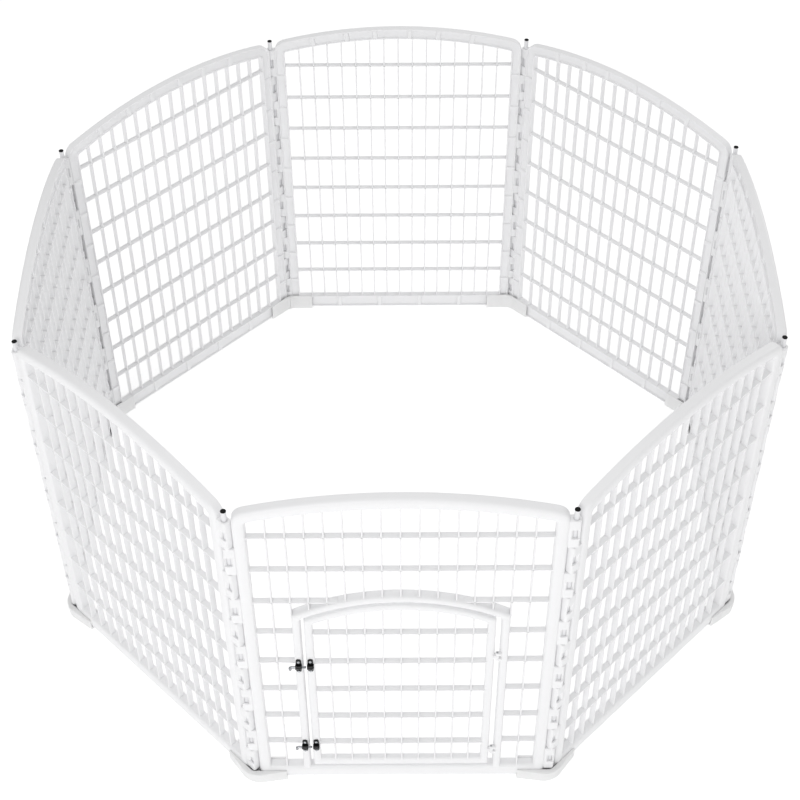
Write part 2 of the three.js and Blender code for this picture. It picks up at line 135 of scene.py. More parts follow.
@dataclass(frozen=True)
class Place:
    """A position and a turn about the vertical: x runs along `along`, and z is up."""

    origin: np.ndarray
    along: np.ndarray

    def apply(self, points: np.ndarray) -> np.ndarray:
        """Carry local points into the row frame.

        Args:
            points: local coordinates, (n, 3).

        Returns:
            origin + x * along + y * (along turned a quarter left) + z * up.
        """
        inward = np.array([-self.along[1], self.along[0], 0.0])
        along = np.array([self.along[0], self.along[1], 0.0])
        up = np.array([0.0, 0.0, 1.0])
        base = np.array([self.origin[0], self.origin[1], 0.0])
        return base + points @ np.stack([along, inward, up])


def headings(angles: np.ndarray) -> np.ndarray:
    """Unit vectors at the given angles, in radians."""
    return np.stack([np.cos(angles), np.sin(angles)], -1)


def raised(flat: np.ndarray, height: np.ndarray) -> np.ndarray:
    """Add a third coordinate, broadcast over the grid, to a grid of points (rows, columns, 2)."""
    return np.concatenate([flat, np.broadcast_to(height, flat.shape[:2])[..., None]], -1)


def even_shares(count: int) -> np.ndarray:
    """The shares of a length at which `count` things divide it evenly."""
    return np.arange(1, count + 1) / (count + 1)


def strips(index: np.ndarray) -> np.ndarray:
    """Quads between the rows of a grid of point numbers whose columns wrap round."""
    near, far = index[:-1], index[1:]
    return np.stack([near, np.roll(near, -1, 1), np.roll(far, -1, 1), far], -1)


def loft(grid: np.ndarray, loop: bool = False) -> Shell:
    """Skin a grid of points whose columns go round a closed section.

    Quad (i, j) joins rows i and i + 1 between columns j and j + 1, which wrap round. The two end
    sections are closed by a ladder of quads between points j and n - 1 - j.

    Args:
        grid: points (rows, columns, 3), with an even number of columns.
        loop: whether the last row joins the first, which leaves no ends.

    Returns:
        The closed shell.
    """
    rows, columns = grid.shape[:2]
    index = np.arange(rows * columns).reshape(rows, columns)
    if loop:
        index = np.vstack([index, index[:1]])
    quads = strips(index).reshape(-1, 4)
    if not loop:
        j = np.arange(columns // 2 - 1)
        ladder = np.stack([j, j + 1, columns - 2 - j, columns - 1 - j], -1)
        quads = np.vstack([quads, ladder[:, ::-1], ladder + (rows - 1) * columns])
    return Shell(grid.reshape(-1, 3), quads).outward()


def rounded_section(width: float, depth: float, radius: float) -> np.ndarray:
    """A rectangle centred on 0, with quarter-circle corners of three points each.

    Args:
        width: along the first coordinate.
        depth: along the second.
        radius: of the corners.

    Returns:
        The outline, (12, 2).
    """
    angles = np.radians(np.array([0, 45, 90])[None, :] + np.array([0, 90, 180, 270])[:, None])
    corners = np.array([[1, 1], [-1, 1], [-1, -1], [1, -1]])
    centres = corners * [width / 2 - radius, depth / 2 - radius]
    return (centres[:, None, :] + radius * headings(angles)).reshape(-1, 2)


def straight_bar(start: Point, end: Point, section: np.ndarray) -> Shell:
    """Carry a section along a level or upright line in the panel's plane.

    The section's first coordinate lies across the line in the panel's plane and its second lies
    through the panel, along y.

    Args:
        start: x, y and z where the bar begins.
        end: x, y and z where it ends.
        section: outline (n, 2).

    Returns:
        The closed bar.
    """
    line = np.array([start, end], float)
    upright = abs(line[1, 2] - line[0, 2]) > abs(line[1, 0] - line[0, 0])
    across = np.array([1.0, 0, 0]) if upright else np.array([0, 0, 1.0])
    offset = section[:, :1] * across + section[:, 1:] * np.array([0, 1.0, 0])
    return loft(line[:, None, :] + offset[None])


def turned(profile: np.ndarray, axis: np.ndarray, sides: int = 32) -> Shell:
    """Spin a profile about a vertical axis.

    Args:
        profile: (n, 2) of radius and height.
        axis: x and y of the axis.
        sides: how many points go round.

    Returns:
        The closed body.
    """
    ring = headings(np.arange(sides) * 2 * math.pi / sides)
    return loft(raised(profile[:, 0, None, None] * ring + axis[:2], profile[:, 1:]))


def collar(outline: np.ndarray, bore: float, meridian: np.ndarray) -> np.ndarray:
    """Points of a collar round a bore: a ring whose outside follows any star-shaped outline.

    The radius at angle j on meridian row i is bore + fraction_i * (outline_j - bore) + offset_i.

    Args:
        outline: the outside, as (n, 2) of angle and radius.
        bore: radius of the hole.
        meridian: (m, 3) of fraction, offset and height, going once round the wall.

    Returns:
        A grid (m, n, 3) about the origin, with its axis along z, to be lofted as a loop.
    """
    angle, reach = outline.T
    radius = bore + meridian[:, :1] * (reach - bore) + meridian[:, 1:2]
    return raised(radius[..., None] * headings(angle), meridian[:, 2:])


def pierced(grid: np.ndarray, rows: tuple[int, int], spans: list[np.ndarray]) -> Shell:
    """Skin a collar's grid and cut windows through its wall.

    The quads between a window's two columns are dropped from one row outside and one row inside,
    and strips of quads between the two edges that this leaves line the window.

    Args:
        grid: points (m, n, 3), as collar made them.
        rows: the outside and the inside row of quads that the windows take.
        spans: the first and last column of each window.

    Returns:
        The closed collar.
    """
    count, columns = grid.shape[:2]
    index = np.arange(count * columns).reshape(count, columns)
    quads = strips(np.vstack([index, index[:1]]))
    keep = np.ones(quads.shape[:2], bool)
    lining = []
    for first, last in spans:
        keep[list(rows), first:last] = False
        sill, head, top, bottom = (
            index[row, first:last + 1] for row in (rows[0], rows[0] + 1, rows[1], rows[1] + 1)
        )
        lining += [
            np.stack([sill[:-1], sill[1:], bottom[1:], bottom[:-1]], -1),
            np.stack([head[1:], head[:-1], top[:-1], top[1:]], -1),
            [[head[0], sill[0], bottom[0], top[0]], [sill[-1], head[-1], top[-1], bottom[-1]]],
        ]
    return Shell(grid.reshape(-1, 3), np.vstack([quads[keep], *lining])).outward()


def saddle_outline(
    radius: float, reach: float, angles: np.ndarray, squareness: float = 2.0
) -> np.ndarray:
    """Outside radius of a ring with a straight neck towards angle 0.

    Behind the axis it is a superellipse, radius / (|cos|^n + |sin|^n)^(1/n). In front it is the
    nearer of the neck's flat side, radius / |sin|, and the neck's end, reach / cos.

    Args:
        radius: half the ring's width.
        reach: distance from the axis to the neck's end.
        angles: where to work it out.
        squareness: the exponent n; 2 makes the ring round.

    Returns:
        (n, 2) of angle and radius.
    """
    sine = np.maximum(np.abs(np.sin(angles)), 1e-6)
    cosine = np.abs(np.cos(angles))
    ring = radius / (cosine**squareness + sine**squareness) ** (1 / squareness)
    neck = np.minimum(radius / sine, reach / np.maximum(cosine, 1e-6))
    return np.stack([angles, np.where(np.cos(angles) > 0, neck, ring)], -1)


def wall_meridian(low: float, high: float, edge: float) -> np.ndarray:
    """A collar's meridian whose rims are rounded outside and eased inside.

    Args:
        low: height of its lower rim.
        high: height of its upper rim.
        edge: radius of the rims.

    Returns:
        (10, 3) of fraction, offset and height, up the outside and down the bore.
    """
    soft = 0.3 * edge
    return np.array([
        [1, -edge, low], [1, -soft, low + soft], [1, 0, low + edge],
        [1, 0, high - edge], [1, -soft, high - soft], [1, -edge, high],
        [0, soft, high], [0, 0, high - soft], [0, 0, low + soft], [0, soft, low],
    ])


def write_mesh(name: str, shells: list[Shell], finish: "Finish") -> bpy.types.Object:
    """Join closed shells into one Blender object at the origin, in metres.

    Args:
        name: the piece's name.
        shells: closed surfaces in the row frame, in millimetres.
        finish: the finish that the piece gets.

    Returns:
        The new object, smooth but for its sharp edges.
    """
    starts = np.cumsum([0] + [len(shell.points) for shell in shells])
    points = np.vstack([shell.points for shell in shells]) * MM
    quads = np.vstack([shell.quads + start for shell, start in zip(shells, starts)])
    data = bpy.data.meshes.new(name)
    data.from_pydata(points, [], quads)
    data.polygons.foreach_set("use_smooth", np.ones(len(quads), bool))
    data.set_sharp_from_angle(angle=SHARP_ANGLE)
    data.materials.append(finish.material())
    piece = bpy.data.objects.new(name, data)
    bpy.context.scene.collection.objects.link(piece)
    LOG.info("%s: %d faces", name, len(quads))
    return piece


def fit(name: str, shells: list[Shell], finish: "Finish", body: str, node: str) -> None:
    """Make a piece that moves with a body and stands for a CAD node.

    Args:
        name: the piece's name.
        shells: closed surfaces in the row frame, in millimetres.
        finish: the finish that the piece gets.
        body: the body that it moves with.
        node: the node that it stands for.
    """
    piece = write_mesh(name, shells, finish)
    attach(piece, body)
    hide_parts(node)


# --- Finishes -----------------------------------------------------------------------------


def linear(colour: str) -> tuple[float, float, float, float]:
    """Turn an sRGB colour into a linear one.

    Args:
        colour: six hex digits after a #.

    Returns:
        Red, green, blue and an alpha of 1.
    """
    parts = np.array([int(colour[i:i + 2], 16) for i in (1, 3, 5)]) / 255
    low, high = parts / 12.92, ((parts + 0.055) / 1.055) ** 2.4
    return (*np.where(parts <= 0.04045, low, high).tolist(), 1.0)


def add_node(tree: bpy.types.NodeTree, kind: str, settings: dict, links: dict) -> bpy.types.Node:
    """Add one shader node.

    Args:
        tree: the material's node tree.
        kind: the node's type name.
        settings: attribute or input name to value; an input is set by its name or number.
        links: input name or number to the output socket that feeds it.

    Returns:
        The new node.
    """
    node = tree.nodes.new(kind)
    for key, value in settings.items():
        if isinstance(key, str) and hasattr(node, key):
            setattr(node, key, value)
        else:
            node.inputs[key].default_value = value
    for key, socket in links.items():
        tree.links.new(socket, node.inputs[key])
    return node


def set_inputs(node: bpy.types.Node, values: dict) -> None:
    """Set a node's own inputs, by name."""
    for name, value in values.items():
        node.inputs[name].default_value = value


@dataclass(frozen=True)
class Finish:
    """What a surface is made of and how it was made."""

    name: str
    slot: str
    colour: str  # sRGB
    roughness: float
    ior: float = 1.5
    metallic: float = 0.0
    spread: float = 0.06  # how far the roughness wanders either way
    grain_mm: float = 1.2  # size of the finest relief
    grain_depth_mm: float = 0.02
    wave_mm: float = 22.0  # size of the slow unevenness of a moulded or plated face
    wave_depth_mm: float = 0.05
    tint: float = 0.985  # darkest share of the colour that its slow variation reaches; on the chromium plate this variation is painted reflection
    translucence: float = 0.0  # share of light that passes below the skin
    scatter_mm: float = 3.0
    specular: float = 0.5  # below 0.5 where fine roughness swallows part of the reflection

    def material(self) -> bpy.types.Material:
        """Return the finish's material, made the first time it is asked for."""
        found = bpy.data.materials.get(self.name)
        return found or self.make()

    def make(self) -> bpy.types.Material:
        """Build the node tree: slow tone and roughness variation, and two scales of relief.

        Returns:
            The new material.
        """
        material = bpy.data.materials.new(self.name)
        material.use_nodes = True
        tree = material.node_tree
        shader = tree.nodes["Principled BSDF"]
        set_inputs(shader, {
            "IOR": self.ior,
            "Metallic": self.metallic,
            "Subsurface Weight": self.translucence,
            "Subsurface Scale": self.scatter_mm * MM,
            "Subsurface Radius": (1.0, 1.0, 1.0),
            "Specular IOR Level": self.specular,
        })
        place = add_node(tree, "ShaderNodeTexCoord", {}, {}).outputs["Object"]
        slow = add_node(tree, "ShaderNodeTexNoise",
                        {"Scale": 1 / (self.wave_mm * MM), "Detail": 2.0}, {"Vector": place})
        fine = add_node(tree, "ShaderNodeTexNoise",
                        {"Scale": 1 / (self.grain_mm * MM), "Detail": 3.0}, {"Vector": place})
        full = linear(self.colour)
        # The darker end of the slow colour mix: random tone on most finishes, painted dark
        # reflection on the chromium plate.
        darker_tone_and_painted_reflection = tuple(channel * self.tint for channel in full[:3]) + (1.0,)
        tone = add_node(tree, "ShaderNodeMix", {"data_type": "RGBA", 6: darker_tone_and_painted_reflection, 7: full},
                        {"Factor": slow.outputs[0]})
        tree.links.new(tone.outputs[2], shader.inputs["Base Color"])
        gloss = add_node(tree, "ShaderNodeMapRange", {
            "To Min": self.roughness - self.spread,
            "To Max": self.roughness + self.spread,
        }, {"Value": slow.outputs[0]})
        tree.links.new(gloss.outputs[0], shader.inputs["Roughness"])
        wave = add_node(tree, "ShaderNodeBump", {"Distance": self.wave_depth_mm * MM},
                        {"Height": slow.outputs[0]})
        relief = add_node(tree, "ShaderNodeBump", {"Distance": self.grain_depth_mm * MM},
                          {"Height": fine.outputs[0], "Normal": wave.outputs[0]})
        tree.links.new(relief.outputs[0], shader.inputs["Normal"])
        return material


# Injection-moulded polypropylene: off-white, satin, and slightly milky where it is thin.
PANEL_PLASTIC = Finish(
    "moulded_polypropylene_white", "panel_plastic", "#F1F1F2", 0.42, ior=1.49, translucence=0.1,
)
# Soft low-density polyethylene: a little greyer and more see-through than the panels.
SHOE_PLASTIC = Finish(
    "soft_polyethylene_milky", "shoe_plastic", "#ECECEC", 0.46, ior=1.51,
    translucence=0.35, scatter_mm=5.0, tint=0.97,
)
# Steel tube dipped in white plastic: smooth, with a faint unevenness along the dip.
ROD_COATING = Finish(
    "dipped_coating_white", "rod_coating", "#E9E9EB", 0.3, grain_depth_mm=0.008, wave_mm=14,
)
# Push-in plug of soft vinyl: black, with a dull skin.
CAP_PLASTIC = Finish(
    "moulded_vinyl_black", "cap_plastic", "#060607", 0.5, ior=1.52, tint=0.8, specular=0.2,
)
# Die-cast bracket under glossy black enamel: sharp highlights and small pits from the casting.
LATCH_ENAMEL = Finish(
    "gloss_enamel_black", "latch_plastic", "#070708", 0.2, specular=0.35, spread=0.08,
    grain_mm=0.8, grain_depth_mm=0.02, wave_mm=5, tint=0.7,
)
# Chromium plate on drawn steel rod: near-mirror, with hair-fine drawing marks. Its colour drops
# to 0.3 of itself in 3 mm blotches, a painted dark-and-light reflection.
BOLT_CHROME = Finish(
    "chromium_plate", "bolt_chrome", "#C4C6CA", 0.12, metallic=1.0, spread=0.05,
    grain_mm=0.5, grain_depth_mm=0.006, wave_mm=3, wave_depth_mm=0.12, tint=0.3,
)
# Pan-head screw with bright zinc plate: a little duller than the chrome.
SCREW_ZINC = Finish(
    "bright_zinc_plate", "screw_steel", "#C6C9CC", 0.22, metallic=1.0, grain_mm=0.5,
    grain_depth_mm=0.006, wave_mm=3, wave_depth_mm=0.01, tint=0.9,
)
# Turned steel pin, plain.
PIN_STEEL = Finish(
    "turned_steel_plain", "pin_steel", "#B9BBBE", 0.3, metallic=1.0, grain_mm=0.5,
    grain_depth_mm=0.006, wave_mm=3, wave_depth_mm=0.01, tint=0.9,
)


# --- The ring's layout, read from the frame ---------------------------------------------------


def middle(node: str) -> np.ndarray:
    """Centre of a CAD node's box, in millimetres."""
    low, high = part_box(node)
    return np.array(low + high) / 2 / MM


@dataclass(frozen=True)
class Ring:
    """Where the rods, panels and corners of the ring stand."""

    pins: np.ndarray  # (8, 2), one rod axis for each corner

    @classmethod
    def from_frame(cls) -> "Ring":
        """Read the rod axes from the frame."""
        return cls(np.array([middle(f"hinge_rod_{k + 1}")[:2] for k in range(PANELS)]))

    @property
    def spacing(self) -> float:
        """Distance between the two rods of a panel."""
        return float(np.linalg.norm(self.pins[1] - self.pins[0]))

    def panel(self, index: int) -> Place:
        """The frame of panel `index`, counted from 0 at the doorway."""
        left, right = self.pins[index], self.pins[(index + 1) % PANELS]
        return Place((left + right) / 2, (right - left) / np.linalg.norm(right - left))

    def corner(self, index: int) -> Place:
        """A frame on the rod at the left end of panel `index`, with +y pointing into the pen."""
        inward = -self.pins[index] / np.linalg.norm(self.pins[index])
        return Place(self.pins[index], np.array([inward[1], -inward[0]]))


# --- Outlines -----------------------------------------------------------------------------


@dataclass(frozen=True)
class ArchedOutline:
    """Straight sides under a circular arch centred on x = 0, with rounded shoulders."""

    left: float
    right: float
    bottom: float
    crown: float
    radius: float
    shoulder: float

    def points(self) -> np.ndarray:
        """Walk the outline from the bottom right corner up, over the arch, and down again.

        A shoulder's centre lies radius - shoulder from the arch's centre, so that its circle
        touches both the side and the arch. Two outlines made here match point for point.

        Returns:
            (n, 2) of x and z, open at the bottom.
        """
        centre = self.crown - self.radius
        reach = self.radius - self.shoulder
        right, left = self.right - self.shoulder, self.left + self.shoulder
        rise_right, rise_left = math.sqrt(reach**2 - right**2), math.sqrt(reach**2 - left**2)
        start, stop = math.atan2(rise_right, right), math.atan2(rise_left, left)
        return np.vstack([
            [[self.right, self.bottom]],
            arc(right, centre + rise_right, self.shoulder, 0, start, SHOULDER_STEPS),
            arc(0, centre, self.radius, start, stop, ARCH_STEPS)[1:-1],
            arc(left, centre + rise_left, self.shoulder, stop, math.pi, SHOULDER_STEPS),
            [[self.left, self.bottom]],
        ])

    def height(self, x: np.ndarray) -> np.ndarray:
        """Height of the arch over x: centre + sqrt(radius^2 - x^2)."""
        return self.crown - self.radius + np.sqrt(self.radius**2 - np.square(x))

    def half_chord(self, z: float) -> float:
        """Half the width of the arch at height z."""
        return math.sqrt(max(self.radius**2 - (z - self.crown + self.radius) ** 2, 0.0))

    def inset(self, side: float, top: float, bottom: float, shoulder: float) -> "ArchedOutline":
        """Return the outline moved in by a width at the sides, top and bottom."""
        return ArchedOutline(self.left + side, self.right - side, self.bottom + bottom,
                             self.crown - top, self.radius - top, shoulder)


def arc(x: float, z: float, radius: float, start: float, stop: float, count: int) -> np.ndarray:
    """Points on the circle about (x, z) from one angle to another, as (count, 2)."""
    return [x, z] + radius * headings(np.linspace(start, stop, count))


@dataclass(frozen=True)
class Channel:
    """Section of a moulded rail: a rounded face outside and a shallow recess inside."""

    front: float  # y of the outer face
    back: float  # y of the recess's lips
    recess: float = 4.0
    pad: float = 13.0  # width of the pads that cross the recess
    pad_top: float = 0.7  # share of that width at their tops
    wall: float = 2.6
    lip: float = 0.6  # chamfer of the lips
    fillet: float = 1.0  # where the walls meet the recess's floor
    steps: int = 17  # points across the outer face
    roundness: float = 2.8  # exponent of the superellipse across the outer face
    crown: float = 8.5  # how far the rounded part reaches back from the outer face

    def profile(self) -> np.ndarray:
        """Walk once round the section.

        The outside follows a superellipse: across = (1 - |cos t|^(2/n) sign) / 2 of the width,
        and depth = crown * |sin t|^(2/n) in front of the straight walls.

        Returns:
            (30, 3) of share of the width, offset from there and y.
        """
        t = np.linspace(0, math.pi, self.steps)
        power = 2 / self.roundness
        across = 0.5 - 0.5 * np.sign(np.cos(t)) * np.abs(np.cos(t)) ** power
        y = self.front + self.crown * (1 - np.abs(np.sin(t)) ** power)
        face = np.stack([across, 0 * t, y], -1)
        lip, wall, fillet = self.lip, self.wall, self.fillet
        floor = self.back - self.recess
        trough = np.array([
            [1, 0, self.back - lip], [1, -lip, self.back],
            [1, lip - wall, self.back], [1, -wall, self.back - lip],
            [1, -wall, floor + fillet], [1, -wall - fillet, floor], [0.5, 0, floor],
            [0, wall + fillet, floor], [0, wall, floor + fillet],
            [0, wall, self.back - lip], [0, wall - lip, self.back],
            [0, lip, self.back], [0, 0, self.back - lip],
        ])
        return np.vstack([face, trough])

    def hoop(self, outer: np.ndarray, inner: np.ndarray, closed: bool) -> Shell:
        """Carry the section round two matching outlines.

        A point is outer + share * (inner - outer) + offset * mitre, where the mitre is the unit
        vector from outer to inner, or the diagonal (1, 1) at the square bottom corners.

        Args:
            outer: outer outline, (n, 2).
            inner: inner outline, (n, 2).
            closed: whether the hoop has a bottom rail.

        Returns:
            The closed shell.
        """
        share, offset, y = self.profile().T
        step = inner - outer
        mitre = step / np.linalg.norm(step, axis=1, keepdims=True)
        if closed:
            mitre[[0, -1]] = np.sign(step[[0, -1]])
        flat = outer[:, None] + share[:, None] * step[:, None] + offset[:, None] * mitre[:, None]
        return loft(raised(flat, y)[..., [0, 2, 1]], loop=closed)

    def rib(self, outer: np.ndarray, inner: np.ndarray) -> Shell:
        """A broad low pad across the recess, with sloping sides.

        Args:
            outer: a point of the outer outline.
            inner: its matching point on the inner one.

        Returns:
            The closed pad, let into the walls and the recess's floor.
        """
        step = (inner - outer) / np.linalg.norm(inner - outer)
        ends = np.array([outer + step * self.wall / 2, inner - step * self.wall / 2])
        tangent = np.array([-step[1], step[0]]) * self.pad / 2
        low, high = self.back - self.recess - self.fillet, self.back - self.lip
        corners = [[-1, low], [1, low], [self.pad_top, high], [-self.pad_top, high]]
        grid = [[[*(end + side * tangent), y] for side, y in corners] for end in ends]
        return loft(np.array(grid)[..., [0, 2, 1]])


# --- Panels -------------------------------------------------------------------------------


@dataclass
class GrillePanel:
    """One moulding: arched frame, lattice and its share of the two hinge columns."""

    spacing: float
    low: float  # underside of the bottom rail
    high: float  # crown of the arch
    depth: float = 21.0
    arch_rise: float = 40.0
    stile: float = 23.0
    stile_to_pin: float = 11.0
    top_rail: float = 26.0
    rail_top: float = 41.0
    shoulder: float = 28.0
    bar_width: float = 3.2
    bar_depth: float = 13.0
    rows: int = 8
    columns: int = 15
    lattice_base: float = 36.0
    top_cell_share: float = 0.4
    knuckles: int = 11
    knuckle_bottom: float = 31.0
    knuckle_radius: float = 9.0
    squareness: float = 4.0
    knuckle_gap: float = 1.0
    column_drop: float = 18.0
    bore: float = 5.5
    neck_let_in: float = 2.0
    window_height: float = 24.0
    window_angles: tuple[float, float] = (137.0, 51.0)  # either side, in degrees from the neck
    knuckle_steps: tuple[int, ...] = (10, 9, 10, 11)  # window, neck, window, back
    rim: float = 0.9  # radius of the bars' and knuckles' edges
    arch_pads: int = 6
    stile_pads: int = 8
    rail_pads: int = 4
    finish: Finish = PANEL_PLASTIC

    @property
    def half(self) -> float:
        """Half the panel's width, to the outer edge of a stile."""
        return self.spacing / 2 - self.stile_to_pin

    @property
    def outline(self) -> ArchedOutline:
        """The panel's outer outline, whose arch passes the stiles `arch_rise` under the crown."""
        radius = (self.half**2 + self.arch_rise**2) / (2 * self.arch_rise)
        return ArchedOutline(-self.half, self.half, self.low, self.high, radius, self.shoulder)

    @property
    def opening(self) -> ArchedOutline:
        """The edge of the lattice."""
        rail = self.rail_top - self.low
        return self.outline.inset(self.stile, self.top_rail, rail, OPENING_SHOULDER)

    @property
    def row_pitch(self) -> float:
        """Distance between the level bars."""
        span = self.high - self.arch_rise - self.top_rail - self.lattice_base
        return span / (self.rows + self.top_cell_share)

    def row(self, number: int) -> float:
        """Height of a level bar, counted from 1 at the bottom."""
        return self.lattice_base + number * self.row_pitch

    def uprights(self) -> np.ndarray:
        """Places of the upright bars along the panel."""
        return (self.half - self.stile) * (2 * even_shares(self.columns) - 1)

    def channel(self) -> Channel:
        """The section of the frame's rails."""
        return Channel(-self.depth / 2, self.depth / 2)

    def frame(self) -> list[Shell]:
        """The arched frame and the low pads in its recess.

        Returns:
            Closed shells, the frame first.
        """
        outer, inner = self.outline.points(), self.opening.points()
        channel = self.channel()
        shells = [channel.hoop(outer, inner, True)]
        for share in even_shares(self.arch_pads):
            at = SHOULDER_STEPS + int(share * (ARCH_STEPS - 2))
            shells.append(channel.rib(outer[at], inner[at]))
        for share in even_shares(self.stile_pads):
            z = self.low + share * (self.high - self.arch_rise - self.low)
            for side in (-1, 1):
                edge = np.array([side * self.half, z])
                shells.append(channel.rib(edge, edge - [side * self.stile, 0]))
        for x in (self.half - self.stile) * (2 * even_shares(self.rail_pads) - 1):
            shells.append(channel.rib(np.array([x, self.low]), np.array([x, self.rail_top])))
        return shells

    def section(self) -> np.ndarray:
        """The bars' section: thin across the panel and deep through it."""
        return rounded_section(self.bar_width, self.bar_depth, self.rim)

    def lattice(self) -> list[Shell]:
        """Upright and level bars across the whole opening, let into the frame.

        Returns:
            One closed shell for each bar.
        """
        section, edge = self.section(), self.half - self.stile + LET_IN
        bars = [straight_bar((-edge, 0, self.row(n)), (edge, 0, self.row(n)), section)
                for n in range(1, self.rows + 1)]
        tops = self.opening.height(self.uprights()) + LET_IN
        bars += [straight_bar((x, 0, self.rail_top - LET_IN), (x, 0, top), section)
                 for x, top in zip(self.uprights(), tops)]
        return bars

    def knuckle(self, slot: int) -> Shell:
        """One knuckle round the rod, necked back to its own stile, with a window in each face.

        The outside is a saddle outline. A window is cut through the wall between two angles and
        two heights, and shows the rod. Its sill and head are two more rows of the meridian.

        Args:
            slot: place in the column, counted from 0 at the bottom; even ones stand at the right.

        Returns:
            The closed knuckle.
        """
        end = End.RIGHT if slot % 2 == 0 else End.LEFT
        top = self.high - self.arch_rise - self.column_drop
        pitch = (top - self.knuckle_bottom) / self.knuckles
        low = self.knuckle_bottom + slot * pitch + self.knuckle_gap / 2
        high = low + pitch - self.knuckle_gap
        far, near = self.window_angles
        columns = np.cumsum([0, *self.knuckle_steps])
        stops = [-far, -near, near, far, 360 - far]
        angles = np.radians(np.interp(np.arange(columns[-1]), columns, stops))
        reach = self.stile_to_pin + self.neck_let_in
        outline = saddle_outline(self.knuckle_radius, reach, angles, self.squareness)
        sill, head = (low + high + np.array([-1, 1]) * self.window_height) / 2
        wall = wall_meridian(low, high, self.rim)
        meridian = np.vstack([wall[:3], [[1, 0, sill], [1, 0, head]],
                              wall[3:8], [[0, 0, head], [0, 0, sill]], wall[8:]])
        grid = collar(outline, self.bore, meridian)
        grid[..., 0] = end.value * (self.spacing / 2 - grid[..., 0])
        sill_to_head = (3, 10)  # rows of the meridian, outside and inside
        return pierced(grid, sill_to_head, [columns[:2], columns[2:4]])

    def shells(self) -> list[Shell]:
        """Every surface of the moulding."""
        return self.frame() + self.lattice() + [self.knuckle(n) for n in range(self.knuckles)]

    def build(self, number: int, place: Place) -> None:
        """Make the panel, and let it stand for its CAD node.

        Args:
            number: the panel's number, from 1 at the doorway.
            place: its frame.
        """
        shells = [shell.placed(place) for shell in self.shells()]
        fit(f"grille_panel_{number}", shells, self.finish, f"bay_{number}", f"panel_{number}")


@dataclass
class Doorway:
    """Sizes that the doorway panel, the leaf and the latches share."""

    half_width: float
    crown: float
    sill: float  # top of the panel's bottom rail
    post_let_in: float = 3.0
    member: float = 16.0
    rise: float = 57.0
    shoulder: float = 9.0
    arch_gap: float = 8.0
    latch_gap: float = 6.0
    hinge_gap: float = 10.0
    sill_gap: float = 7.0
    leaf_rail: float = 22.0

    @property
    def outline(self) -> ArchedOutline:
        """Outer outline of the posts and the arch, let into the bottom rail."""
        radius = (self.half_width**2 + self.rise**2) / (2 * self.rise)
        return ArchedOutline(-self.half_width, self.half_width, self.sill - self.post_let_in,
                             self.crown, radius, self.shoulder)

    @property
    def leaf(self) -> ArchedOutline:
        """Outer outline of the leaf, whose arch is concentric with the doorway's."""
        outer, drop = self.outline, self.member + self.arch_gap
        return ArchedOutline(outer.left + self.member + self.latch_gap,
                             outer.right - self.member - self.hinge_gap,
                             self.sill + self.sill_gap, outer.crown - drop,
                             outer.radius - drop, self.shoulder - 1)


@dataclass
class HingeLug:
    """A ring round a door pin, necked to the post or to the leaf."""

    pin: np.ndarray  # x and y of the pin
    radius: float = 4.3
    bore: float = 2.1
    reach: float = 7.5  # from the pin to the neck's end
    edge: float = 0.6

    def shell(self, low: float, high: float, end: End) -> Shell:
        """One lug.

        Args:
            low: height of its lower rim.
            high: height of its upper rim.
            end: the side that its neck points to.

        Returns:
            The closed ring.
        """
        angles = np.radians(np.arange(0, 360, 10))
        outline = saddle_outline(self.radius, self.reach, angles)
        grid = collar(outline, self.bore, wall_meridian(low, high, self.edge))
        grid[..., 0] = grid[..., 0] * end.value + self.pin[0]
        grid[..., 1] += self.pin[1]
        return loft(grid, loop=True)


@dataclass
class DoorwayPanel(GrillePanel):
    """The front panel, with an arched doorway moulded into its lattice."""

    doorway: Doorway | None = None
    hinges: list = field(default_factory=list)  # (pin x, pin y, low, high) of each door hinge
    lug_height: float = 6.0
    bar_end_let_in: float = 6.0  # level bars into the doorway's arch
    bar_foot_let_in: float = 5.0  # upright bars into it

    def lattice(self) -> list[Shell]:
        """Bars that stop on the doorway's posts and arch.

        Returns:
            One closed shell for each bar.
        """
        section, edge = self.section(), self.half - self.stile + LET_IN
        outline = self.doorway.outline
        post = self.doorway.half_width - LET_IN
        bars = []
        for number in range(1, self.rows + 1):
            z = self.row(number)
            if z > outline.crown:
                bars.append(straight_bar((-edge, 0, z), (edge, 0, z), section))
                continue
            beside_post = z < outline.height(outline.right)
            stop = post if beside_post else outline.half_chord(z) - self.bar_end_let_in
            bars += [straight_bar((side * edge, 0, z), (side * stop, 0, z), section)
                     for side in (-1, 1)]
        for x in self.uprights():
            top = float(self.opening.height(x)) + LET_IN
            foot = self.rail_top - LET_IN
            if abs(x) <= outline.right:
                foot = float(outline.height(x)) - self.bar_foot_let_in
            bars.append(straight_bar((x, 0, foot), (x, 0, top), section))
        return bars

    def posts(self) -> Shell:
        """The doorway's two posts and arch.

        Returns:
            One closed shell, open between the posts' feet.
        """
        member = self.doorway.member
        outer = self.doorway.outline
        inner = outer.inset(member, member, 0, outer.shoulder)
        return self.channel().hoop(outer.points(), inner.points(), False)

    def shells(self) -> list[Shell]:
        """Every surface of the moulding, with the doorway and two lugs for each door pin.

        Returns:
            Closed shells in the panel's frame.
        """
        lugs = []
        for x, y, low, high in self.hinges:
            lug = HingeLug(np.array([x, y]))
            lugs.append(lug.shell(low, low + self.lug_height, End.RIGHT))
            lugs.append(lug.shell(high - self.lug_height, high, End.RIGHT))
        return super().shells() + [self.posts()] + lugs


